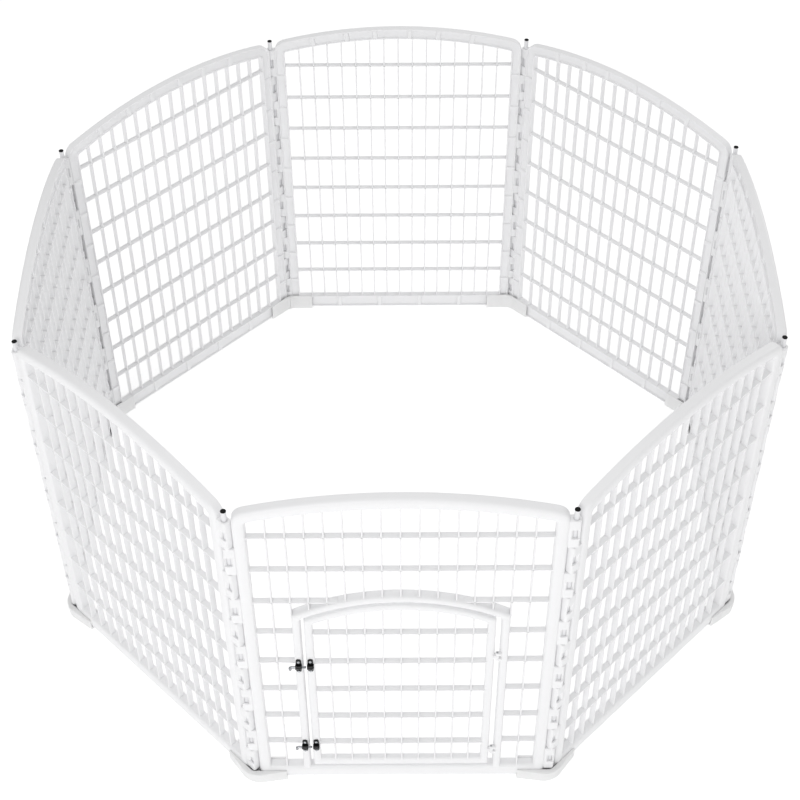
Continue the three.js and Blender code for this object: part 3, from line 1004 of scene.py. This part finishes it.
@dataclass
class DoorLeaf:
    """The door: a smaller arched grille that hangs on two pins."""

    panel: DoorwayPanel
    face: float  # y of its outer face
    depth: float = 14.0
    rows: int = 5
    columns: int = 9
    lug_height: float = 9.0
    wall: float = 2.2
    crown: float = 6.5
    finish: Finish = PANEL_PLASTIC

    def shells(self) -> list[Shell]:
        """Frame, lattice and one lug for each door pin.

        Returns:
            Closed shells in the doorway panel's frame.
        """
        doorway = self.panel.doorway
        outline = doorway.leaf
        opening = outline.inset(doorway.member, doorway.member, doorway.leaf_rail,
                                OPENING_SHOULDER)
        channel = Channel(self.face, self.face + self.depth, wall=self.wall, crown=self.crown)
        shells = [channel.hoop(outline.points(), opening.points(), True)]
        section, y = self.panel.section(), self.face + self.depth / 2
        for number in range(1, self.rows + 1):
            z = self.panel.row(number)
            left, right = opening.left - LET_IN, opening.right + LET_IN
            shells.append(straight_bar((left, y, z), (right, y, z), section))
        skip = (self.panel.columns - self.columns) // 2
        for x in self.panel.uprights()[skip:-skip]:
            top = float(opening.height(x)) + LET_IN
            shells.append(straight_bar((x, y, opening.bottom - LET_IN), (x, y, top), section))
        for x, pin_y, low, high in self.panel.hinges:
            centre, half = (low + high) / 2, self.lug_height / 2
            lug = HingeLug(np.array([x, pin_y]))
            shells.append(lug.shell(centre - half, centre + half, End.LEFT))
        return shells

    def build(self, place: Place) -> None:
        """Make the leaf, and let it stand for its CAD node."""
        shells = [shell.placed(place) for shell in self.shells()]
        fit("door_leaf_moulding", shells, self.finish, "door", "door_leaf")


# --- Rods and caps ------------------------------------------------------------------------


@dataclass
class HingeRod:
    """A coated steel tube with a black plug pressed into its top end."""

    pin: np.ndarray
    radius: float = 5.0
    wall: float = 1.4
    socket_depth: float = 12.0
    reach: float = 1.5  # how much higher than its CAD node the tube ends
    cap_radius: float = 5.3
    cap_height: float = 1.3

    def tube(self, low: float, high: float) -> Shell:
        """The tube, closed below and open above, where it reaches up to the plug's disc.

        Args:
            low: height of its lower end.
            high: height of the top of its CAD node.

        Returns:
            The closed shell of its wall and end.
        """
        high += self.reach
        r, bore, floor = self.radius, self.radius - self.wall, high - self.socket_depth
        return turned(np.array([
            [POLE, low], [r - 0.8, low], [r - 0.24, low + 0.24], [r, low + 0.8],
            [r, high - 0.4], [r - 0.4, high], [bore + 0.3, high], [bore, high - 0.3],
            [bore, floor], [POLE, floor],
        ]), self.pin)

    def cap(self, low: float, high: float) -> Shell:
        """The plug: a thin, slightly domed disc with a soft rim, and its stem.

        Args:
            low: height of the stem's end.
            high: height of the disc's top.

        Returns:
            The closed plug.
        """
        r, stem = self.cap_radius, self.radius - self.wall - 0.2
        under = high - self.cap_height
        rim = arc(r - 0.6, high - 0.7, 0.6, math.pi / 2, 0, 5)
        return turned(np.vstack([
            [[POLE, high], [r * 0.6, high - 0.06]], rim,
            [[r, under + 0.2], [r - 0.2, under], [stem, under], [stem, low + 0.6],
             [stem - 0.6, low], [POLE, low]],
        ]), self.pin)

    def build(self, number: int) -> None:
        """Make the rod and its cap, and let them stand for their CAD nodes.

        Args:
            number: the corner's number, from 1.
        """
        for name, node, make, finish in (
            ("hinge_rod_tube", "hinge_rod", self.tube, ROD_COATING),
            ("rod_end_cap", "rod_cap", self.cap, CAP_PLASTIC),
        ):
            low, high = (corner.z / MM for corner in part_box(f"{node}_{number}"))
            fit(f"{name}_{number}", [make(low, high)], finish, f"rod_{number}",
                f"{node}_{number}")


# --- Corner shoes -------------------------------------------------------------------------


def resampled(line: np.ndarray, count: int) -> np.ndarray:
    """Spread points along a polyline at equal steps of its length.

    Args:
        line: its corners, (n, 2).
        count: how many points to spread.

    Returns:
        (count, 2), with the polyline's own ends first and last.
    """
    length = np.concatenate([[0], np.cumsum(np.linalg.norm(np.diff(line, axis=0), axis=1))])
    at = np.linspace(0, length[-1], count)
    return np.stack([np.interp(at, length, line[:, axis]) for axis in (0, 1)], -1)


@dataclass
class CornerShoe:
    """A soft trough round the ring's corner, with a socket under the rod.

    Seen from above it is bounded by four lines: the outside, the two edges of the channel that
    takes the panels, and the inside. Each point of its section is a mixture of two of them.
    """

    arm: float = 66.0
    half_width: float = 14.3
    channel: float = 10.65
    height: float = 30.0  # of the outer wall
    inner_height: float = 44.0
    floor: float = 5.0
    inner_radius: float = 40.0
    channel_radius: float = 4.0  # of the channel's inner edge, at the corner
    corner_radius: float = 45.0
    corner_reach: float = 20.0  # rod axis to the outside of the corner
    turn: float = 2 * math.pi / PANELS
    socket_top: float = 20.0
    socket_bore: float = 5.6
    socket_radius: float = 10.6
    socket_edge: float = 0.8
    floor_let_in: float = 1.0  # socket into the floor
    stations: int = 41
    lap: float = 0.81  # half the angle of a cut shoe's round wall, in radians
    sweep: float = 15.6  # how far a folding panel's corner reaches from the rod axis
    cut: float = 14.0  # rod axis to where a cut shoe's walls begin
    edge: float = 1.2  # of the round wall
    web_anchor: float = 19.0  # rod axis to a point along a web's arm, worked out in build and not used
    foot: float = 0.2  # gap under the round wall
    # How the right half's round wall lies inside the left one's: in from its outside, up from
    # its foot and down from its top.
    nesting: tuple[float, float, float] = (0.4, 0.2, 0.3)
    web_stations: int = 161

    def arm_end(self, side: int, across: float) -> np.ndarray:
        """A point at an arm's end, `across` to the outside of its middle."""
        tilt = self.turn / 2
        return np.array([side * (self.arm * math.cos(tilt) + across * math.sin(tilt)),
                         self.arm * math.sin(tilt) - across * math.cos(tilt)])

    def outer_line(self, across: float, centre: float, radius: float) -> np.ndarray:
        """A line round the outside of the corner.

        It leaves each arm's end along the tangent to a circle centred on the bisector. The
        tangent touches the circle at angle a - acos(radius / d), where a and d are the direction
        and the distance of the arm's end from the circle's centre.

        Args:
            across: distance from the arm's middle at its end.
            centre: y of the circle's centre.
            radius: the circle's radius.

        Returns:
            (n, 2) from left to right.
        """
        end = self.arm_end(1, across)
        away = math.hypot(end[0], end[1] - centre)
        touch = math.atan2(end[1] - centre, end[0]) - math.acos(radius / away)
        bend = arc(0, centre, radius, -math.pi - touch, touch, 25)
        return np.vstack([self.arm_end(-1, across), bend, end])

    def inner_line(self, across: float, radius: float) -> np.ndarray:
        """A line round the inside of the corner: the two arms' edges, joined by an arc.

        Args:
            across: distance of the edges from the arms' middles.
            radius: the arc's radius. Its centre lies (across + radius) / cos(turn / 2) inward.

        Returns:
            (n, 2) from left to right.
        """
        tilt = self.turn / 2
        bend = arc(0, (across + radius) / math.cos(tilt), radius,
                   -math.pi / 2 - tilt, -math.pi / 2 + tilt, 25)
        return np.vstack([self.arm_end(-1, -across), bend, self.arm_end(1, -across)])

    def section(self) -> np.ndarray:
        """The trough's section, from lip to lip outside and back inside.

        Returns:
            (24, 5) of shares of the outside, outer channel, inner channel and inside lines, and
            height.
        """
        def wall(h: float, f: float) -> tuple[np.ndarray, np.ndarray]:
            """Half the section's outer and inner side, up to a lip at height h."""
            return np.array([
                [0.55, 0.45, 0, 0, h], [0.85, 0.15, 0, 0, h - 0.4], [1, 0, 0, 0, h - 1.8],
                [1, 0, 0, 0, 5.0], [0.94, 0.06, 0, 0, 1.6], [0.7, 0.3, 0, 0, 0],
            ]), np.array([
                [0.12, 0.88, 0, 0, h], [0.03, 0.97, 0, 0, h - 0.15], [0, 1, 0, 0, h - 0.5],
                [0, 1, 0, 0, f + 2.5], [0, 0.97, 0.03, 0, f + 0.7], [0, 0.88, 0.12, 0, f],
            ])

        mirror = [3, 2, 1, 0, 4]
        outside, inside = wall(self.height, self.floor)
        far_outside, far_inside = wall(self.inner_height, self.floor)
        return np.vstack([outside, far_outside[::-1][:, mirror],
                          far_inside[:, mirror], inside[::-1]])

    def trough(self, lines: list[np.ndarray]) -> Shell:
        """Carry the section along the four lines.

        Args:
            lines: four polylines from above, outside first.

        Returns:
            The closed trough.
        """
        track = np.stack([resampled(line, self.stations) for line in lines], 1)
        section = self.section()
        return loft(raised(np.einsum("sl,nlk->nsk", section[:, :4], track), section[:, 4]))

    def lines(self) -> list[np.ndarray]:
        """The four lines of a whole shoe."""
        return [
            self.outer_line(self.half_width, self.corner_radius - self.corner_reach,
                            self.corner_radius),
            self.outer_line(self.channel, 0, self.channel),
            self.inner_line(self.channel, self.channel_radius),
            self.inner_line(self.half_width, self.inner_radius),
        ]

    def socket(self) -> Shell:
        """The block round the rod's foot, with its bore.

        Returns:
            The closed ring, let into the shoe's floor.
        """
        angles = np.radians(np.arange(0, 360, 10))
        outline = np.stack([angles, np.full_like(angles, self.socket_radius)], -1)
        foot = self.floor - self.floor_let_in
        meridian = wall_meridian(foot, self.socket_top, self.socket_edge)
        return loft(collar(outline, self.socket_bore, meridian), loop=True)

    def half_shoe(self, end: End) -> list[Shell]:
        """One arm of a shoe that is cut at the rod, with a round wall outside the rod.

        The round wall is concentric with the rod and spans more than the ring's turn, so that
        the two halves still meet when the corner opens. The right one lies just inside the left.

        Args:
            end: which arm.

        Returns:
            Closed shells about the rod.
        """
        tilt, side = self.turn / 2, end.value
        way = np.array([side * math.cos(tilt), math.sin(tilt)])
        out = np.array([side * math.sin(tilt), -math.cos(tilt)])
        slack, lift, drop = np.array(self.nesting) * (end is End.RIGHT)
        reach, edge = self.corner_reach - slack, self.edge
        low, high = self.foot + lift, self.height - drop
        lines = [np.array([way * self.arm + out * far, way * self.cut + out * near])
                 for far, near in ((self.half_width, reach - edge), (self.channel, self.channel),
                                   (-self.channel, -self.channel),
                                   (-self.half_width, -self.half_width))]
        start = math.atan2(out[1], out[0]) + side * self.lap
        span = start - side * np.linspace(0, 2 * self.lap, 25)
        band = np.array([
            [self.sweep, low], [self.sweep, high], [reach - edge, high], [reach, high - edge],
            [reach, low + edge], [reach - edge, low],
        ])
        wall = loft(raised(band[:, :1] * headings(span)[:, None], band[:, 1]))
        shells = [self.trough(lines), wall]
        if end is End.LEFT:
            disc = np.array([[POLE, 0.3], [reach - 2, 0.3], [reach - 1, 1.3],
                             [reach - 1, self.floor], [POLE, self.floor]])
            shells += [self.socket(), turned(disc, np.zeros(2))]
        return shells

    def web(self, end: End) -> Shell:
        """The inner wall of a cut shoe between one arm and the middle of the corner.

        Args:
            end: which arm.

        Returns:
            The closed wall about the rod.
        """
        near, far = (resampled(line, self.web_stations) for line in self.lines()[2:])
        tilt, side = self.turn / 2, end.value
        along = near @ np.array([side * math.cos(tilt), math.sin(tilt)])
        part = (near[:, 0] * side >= 0) & (along < self.cut + 1)
        top = self.inner_height - 0.1
        section = np.array([[0.3, 0.3], [1, 2.0], [1, top - 1.8], [0.85, top - 0.4],
                            [0.5, top], [0.12, top], [0, top - 0.5], [0, 0.3]])
        share = section[:, :1]
        flat = near[part][:, None] * (1 - share) + far[part][:, None] * share
        return loft(raised(flat, section[:, 1]))

    def build(self, number: int, place: Place, bays: tuple[str, str], jointed: bool) -> None:
        """Make the shoe between two bays, in one piece or, at the open pivot, in two halves.

        The halves' inner wall meets in two webs, each moving with its own half's bay.

        Args:
            number: the corner's number.
            place: its frame.
            bays: the bodies of the panels at its left and right arms.
            jointed: whether one joint joins the two bays.
        """
        if jointed:
            shells = [shell.placed(place) for shell in (self.trough(self.lines()), self.socket())]
            piece = write_mesh(f"bent_shoe_{number}", shells, SHOE_PLASTIC)
            start, end = place.apply(np.array([[-10.0, 0, 0], [10.0, 0, 0]])) * MM
            tuple(start)
            tuple(end)
            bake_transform(piece)
            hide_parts(f"corner_shoe_{number}")
            return
        for end, bay in zip((End.LEFT, End.RIGHT), bays):
            shells = [shell.placed(place) for shell in self.half_shoe(end)]
            fit(f"half_shoe_{number}_{end.name.lower()}", shells, SHOE_PLASTIC, bay,
                f"corner_shoe_{number}")
            web = self.web(end).placed(place)
            piece = write_mesh(f"shoe_web_{number}_{end.name.lower()}", [web], SHOE_PLASTIC)
            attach(piece, bay)
            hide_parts(f"corner_shoe_{number}")
            way = np.array([end.value * math.cos(self.turn / 2), math.sin(self.turn / 2), 0])
            start, stop = place.apply(np.array([[0.0, 0, 0], way * self.web_anchor])) * MM
            tuple(stop)
            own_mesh(piece)


# --- Latches and door pins ------------------------------------------------------------------


@dataclass
class Latch:
    """A small barrel bolt: two brackets, a sliding rod and four screws."""

    number: int
    place: Place
    inset: float  # distance from the pin plane to the rod's axis, along -y
    rod_radius: float = 2.5
    barrel_radius: float = 4.8
    barrel_bore: float = 2.9
    plate_width: float = 10.5
    plate: float = 2.1
    notch: float = 2.0  # radius of the notch in the plate's lower end
    handle_bend: float = 2.8  # radius of the rod's bend into its handle
    handle_shift: float = 0.9  # how far past its CAD node the handle stands out
    handle_swell: float = 0.5

    def local(self, node: str) -> tuple[np.ndarray, np.ndarray]:
        """A CAD node's box in the panel's frame, in millimetres.

        Args:
            node: the node's name.

        Returns:
            Lowest and highest corners. The doorway panel isn't turned, so the box only moves.
        """
        origin = np.array([self.place.origin[0], self.place.origin[1], 0.0])
        low, high = (np.array(corner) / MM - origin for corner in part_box(node))
        return low, high

    def bracket(self, node: str) -> list[Shell]:
        """A plate with round ends and a ribbed barrel across its middle.

        Args:
            node: the CAD node whose place it takes.

        Returns:
            Closed shells in the panel's frame.
        """
        low, high = self.local(node)
        centre, seat = (low + high) / 2, high[1]
        radius, half = self.plate_width / 2, (high[2] - low[2]) / 2
        straight = half - radius
        foot = arc(0, -half, self.notch, math.pi - 0.1, 0.1, 9)
        stadium = np.vstack([
            arc(0, straight, radius, 0, math.pi, 13),
            arc(0, -straight, radius, math.pi, math.pi * 1.5 - 0.4, 6), foot,
            arc(0, -straight, radius, math.pi * 1.5 + 0.4, math.pi * 2, 6),
        ])
        rows = [(0.0, seat), (0.0, seat - 1.2), (0.25, seat - 1.8), (0.8, seat - self.plate)]
        squeeze = 1 - np.array([[shrink / radius, shrink / half] for shrink, _ in rows])
        outline = stadium[None] * squeeze[:, None]
        depths = np.array([[depth] for _, depth in rows])
        plate = loft(raised(outline + centre[[0, 2]], depths)[..., [0, 2, 1]])
        reach, end = seat + self.inset - 0.8, (high[0] - low[0]) / 2
        outline = saddle_outline(self.barrel_radius, reach, np.radians(np.arange(0, 360, 9)))
        meridian = np.array([
            [1, -0.8, -end], [1, -0.2, 0.3 - end], [1, 0, 0.8 - end], [1, 0, 2.2 - end],
            [1, -0.5, 2.8 - end], [1, -0.5, end - 2.8], [1, 0, end - 2.2],
            [1, 0, end - 0.8], [1, -0.2, end - 0.3], [1, -0.8, end],
            [0, 0.3, end], [0, 0, end - 0.4], [0, 0, 0.4 - end], [0, 0.3, -end],
        ])
        ring = collar(outline, self.barrel_bore, meridian)
        barrel = np.stack([ring[..., 2] + centre[0], ring[..., 0] - self.inset,
                           ring[..., 1] + centre[2]], -1)
        return [plate, loft(barrel, loop=True)]

    def bolt(self, node: str) -> list[Shell]:
        """The sliding rod, bent down at its far end into a short handle.

        A circle is carried along a line that runs level, turns down through a quarter circle and
        ends in a rounded tip.

        Args:
            node: the CAD node whose place it takes.

        Returns:
            One closed shell.
        """
        low, high = self.local(node)
        z, bend = high[2] - self.rod_radius, self.handle_bend
        left = low[0] + self.rod_radius - self.handle_shift
        tip = np.array([[high[0], z], [high[0] - 0.4, z], [high[0] - 1.2, z], [left + bend, z]])
        curve = arc(left + bend, z - bend, bend, math.pi / 2, math.pi, 9)[1:]
        foot = np.array([[left, low[2] + 1.6], [left, low[2] + 0.5], [left, low[2]]])
        line = np.vstack([tip, curve, foot])
        tangent = np.gradient(line, axis=0)
        tangent /= np.linalg.norm(tangent, axis=1, keepdims=True)
        normal = np.stack([-tangent[:, 1], tangent[:, 0]], -1)
        radius = np.full(len(line), self.rod_radius)
        radius[len(tip) + len(curve) // 2:] += self.handle_swell
        radius[:2] -= [0.9, 0.3]
        radius[-2:] -= [0.4, 1.3]
        angle = np.arange(24) * math.pi / 12
        level = line[:, None] + (radius[:, None] * np.cos(angle))[..., None] * normal[:, None]
        y = -self.inset + radius[:, None] * np.sin(angle)
        return [loft(np.stack([level[..., 0], y, level[..., 1]], -1))]

    def screw(self, node: str) -> list[Shell]:
        """A domed screw head with a cross recess.

        The dome is a flat-topped ellipsoid; the recess drops where |cos 2a| is high, which
        leaves four arms.

        Args:
            node: the CAD node whose place it takes.

        Returns:
            One closed shell.
        """
        low, high = self.local(node)
        centre, radius, rise = (low + high) / 2, (high[0] - low[0]) / 2, high[1] - low[1] + 0.3
        share = np.array([1.0, 1.0, 0.96, 0.86, 0.68, 0.6, 0.58, 0.3, 0.12])
        lift = rise * np.array([0, 0.3, 0.62, 0.86, 0.97, 0.99, 1.0, 1.0, 1.0])
        angle = np.arange(32) * math.pi / 16
        arms = (np.abs(np.cos(2 * angle)) > 0.9)[None, :] | (share[:, None] < 0.2)
        drop = 0.8 * arms * (share[:, None] < 0.59)
        height = lift[:, None] - drop
        x = centre[0] + radius * share[:, None] * np.cos(angle)
        z = centre[2] + radius * share[:, None] * np.sin(angle)
        return [loft(np.stack([x, high[1] + 0.3 - height, z], -1))]

    def build(self) -> None:
        """Make every piece of the latch, and let each stand for its CAD node."""
        count = self.number
        screws = [4 * count - 3 + n for n in range(4)]
        pieces = [
            (f"latch_barrel_body_{count}", f"latch_barrel_{count}", "bay_1", LATCH_ENAMEL,
             self.bracket),
            (f"latch_keeper_body_{count}", f"latch_keeper_{count}", "door", LATCH_ENAMEL,
             self.bracket),
            (f"latch_bolt_rod_{count}", f"latch_bolt_{count}", f"bolt_{count}", BOLT_CHROME,
             self.bolt),
        ]
        pieces += [(f"screw_head_{n}", f"latch_screw_{n}", "bay_1" if n in screws[:2] else "door",
                    SCREW_ZINC, self.screw) for n in screws]
        for name, node, body, finish, make in pieces:
            shells = [shell.placed(self.place) for shell in make(node)]
            fit(name, shells, finish, body, node)


def door_pin(number: int) -> None:
    """Make one door hinge pin, a turned rod with chamfered ends, in its CAD node's place.

    Args:
        number: the pin's number, from 1.
    """
    node = f"door_hinge_pin_{number}"
    low, high = (corner.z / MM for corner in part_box(node))
    r, edge = PIN_RADIUS, PIN_EDGE
    profile = np.array([[r - edge, low], [r, low + edge], [r, high - edge], [r - edge, high]])
    fit(f"door_pin_{number}", [turned(profile, middle(node), 20)], PIN_STEEL, "bay_1", node)


# --- Stage --------------------------------------------------------------------------------


@dataclass
class Studio:
    """A plain white floor, soft light all round and the camera."""

    floor_size: float = 30.0
    camera_place: Point = (0.001, -2.5168, 2.8874)
    azimuth: float = 0.02
    elevation: float = 45.07
    roll: float = -0.32
    lens: float = 71.58
    sky: float = 0.58

    def floor(self) -> None:
        """Lay the floor."""
        half = self.floor_size / 2
        corners = [(-half, -half, 0), (half, -half, 0), (half, half, 0), (-half, half, 0)]
        data = bpy.data.meshes.new("floor")
        data.from_pydata(corners, [], [(0, 1, 2, 3)])
        material = bpy.data.materials.new("seamless_paper_white")
        material.use_nodes = True
        shader = material.node_tree.nodes["Principled BSDF"]
        set_inputs(shader, {
            "Base Color": linear("#FFFFFF"),
            "Roughness": 0.9,
            "Specular IOR Level": 0.1,
            "Emission Color": (1, 1, 1, 1),
            "Emission Strength": 0.3,
        })
        data.materials.append(material)
        floor = bpy.data.objects.new("floor", data)
        bpy.context.scene.collection.objects.link(floor)

    def lights(self) -> None:
        """Light the pen from a white sky and three large soft panels."""
        world = bpy.data.worlds.new("white_sky")
        world.use_nodes = True
        backdrop = world.node_tree.nodes["Background"]
        set_inputs(backdrop, {"Color": (1, 1, 1, 1), "Strength": self.sky})
        bpy.context.scene.world = world
        bpy.context.scene.view_settings.view_transform = "Standard"
        for name, place, size, power in (
            ("key_light", (-1.1, -4.4, 2.9), 2.0, 56.0),
            ("top_light", (0.0, 0.3, 5.0), 3.0, 30.0),
            ("fill_light", (3.4, 3.4, 2.6), 2.0, 30.0),
        ):
            light = bpy.data.lights.new(name, "AREA")
            light.size, light.energy = size, power
            lamp = bpy.data.objects.new(name, light)
            lamp.location = place
            aim = Vector((0, 0, 0.3)) - Vector(place)
            lamp.rotation_euler = aim.to_track_quat("-Z", "Y").to_euler()
            bpy.context.scene.collection.objects.link(lamp)

    def camera(self) -> None:
        """Set up the camera, which looks along +y and down."""
        data = bpy.data.cameras.new("camera")
        data.lens, data.sensor_width = self.lens, 36.0
        data.clip_end = 100.0
        camera = bpy.data.objects.new("camera", data)
        camera.location = self.camera_place
        turn = Euler((math.radians(90 - self.elevation), 0, math.radians(self.azimuth)))
        camera.rotation_euler = (turn.to_matrix() @ Euler(
            (0, 0, math.radians(self.roll))).to_matrix()).to_euler()
        bpy.context.scene.collection.objects.link(camera)
        bpy.context.scene.camera = camera


# --- Assembly -----------------------------------------------------------------------------


def main() -> None:
    """Build the pen around the frame, then the stage."""
    logging.basicConfig(level=logging.INFO, format="%(name)s: %(message)s")
    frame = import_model()
    ring = Ring.from_frame()
    low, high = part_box("panel_5")
    sizes = {"spacing": ring.spacing, "low": low.z / MM, "high": high.z / MM}
    plain = GrillePanel(**sizes)
    hinges = []
    for number in (1, 2):
        bottom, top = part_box(f"door_hinge_pin_{number}")
        x, y = middle(f"door_hinge_pin_{number}")[:2] - ring.panel(0).origin
        hinges.append((x, y, bottom.z / MM, top.z / MM))
    doorway = Doorway(
        DOORWAY_HALF_WIDTH, plain.row(DOORWAY_ROWS) + DOORWAY_ARCH_RISE, plain.rail_top)
    front = DoorwayPanel(**sizes, doorway=doorway, hinges=hinges)
    for index in range(PANELS):
        panel = plain if index else front
        panel.build(index + 1, ring.panel(index))
        HingeRod(ring.pins[index]).build(index + 1)
    leaf = DoorLeaf(front, face=hinges[0][1])
    leaf.build(ring.panel(0))
    pairs = {frozenset((joint["parent"], joint["child"])) for joint in frame["joints"]}
    for index in range(PANELS):
        bays = (f"bay_{(index - 1) % PANELS + 1}", f"bay_{index + 1}")
        CornerShoe().build(index + 1, ring.corner(index), bays, frozenset(bays) in pairs)
    for number in (1, 2):
        axis = middle(f"latch_bolt_{number}")[1] - ring.panel(0).origin[1]
        Latch(number, ring.panel(0), inset=-axis).build()
        door_pin(number)
    studio = Studio()
    studio.floor()
    studio.lights()
    studio.camera()


if __name__ == "__main__":
    main()
